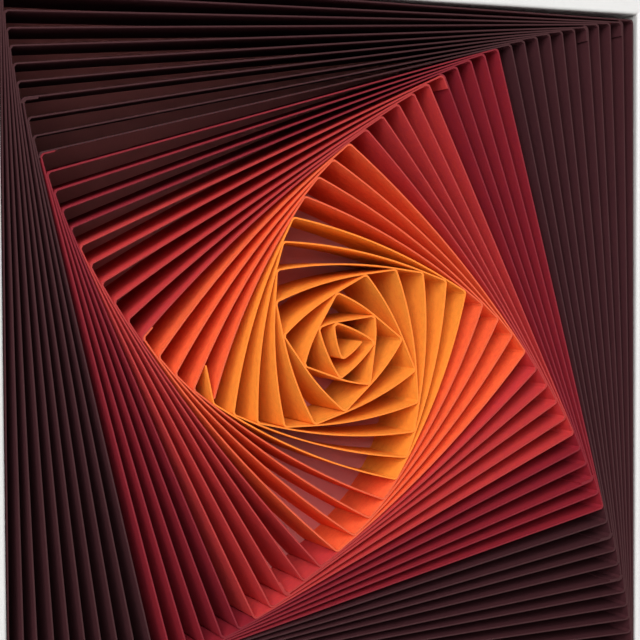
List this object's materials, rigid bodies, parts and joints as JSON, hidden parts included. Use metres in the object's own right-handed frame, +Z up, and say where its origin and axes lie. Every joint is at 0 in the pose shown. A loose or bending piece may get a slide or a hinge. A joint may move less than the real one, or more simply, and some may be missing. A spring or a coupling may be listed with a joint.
{
  "type": "framed quilled paper art",
  "caption": "Small deep picture frame with long coloured paper strips standing on edge, folded into a clockwise whirl of nested turning squares.",
  "frame": {"origin": "bottom centre of the frame's box, on the underside of the bottom rail", "axes": "-Y is the front of the picture, towards the viewer; +X is to the viewer's right; +Z is up"},
  "size_m": [0.1224, 0.018, 0.1225],
  "materials": {
    "yellow_orange_paper": "matte",
    "orange_red_paper": "matte",
    "red_paper": "matte",
    "crimson_paper": "matte",
    "maroon_paper": "matte",
    "white_card": "matte",
    "white_rail": "matte white paint",
    "hardboard": "matte",
    "steel": "satin"
  },
  "bodies": {
    "root": {"yellow_orange_strip": "yellow_orange_paper", "orange_red_strip": "orange_red_paper", "red_strip_1": "red_paper", "red_strip_2": "red_paper", "crimson_strip_1": "crimson_paper", "crimson_strip_2": "crimson_paper", "maroon_strip_1": "maroon_paper", "maroon_strip_2": "maroon_paper", "maroon_strip_3": "maroon_paper", "maroon_strip_4": "maroon_paper", "maroon_strip_5": "maroon_paper", "maroon_strip_6": "maroon_paper", "maroon_strip_7": "maroon_paper", "mount_card": "white_card", "left_rail": "white_rail", "top_rail": "white_rail", "right_rail": "white_rail", "bottom_rail": "white_rail", "backing_board": "hardboard", "retaining_tabs": "steel", "sawtooth_hanger": "steel", "hanger_nails": "steel"}
  },
  "joints": []
}
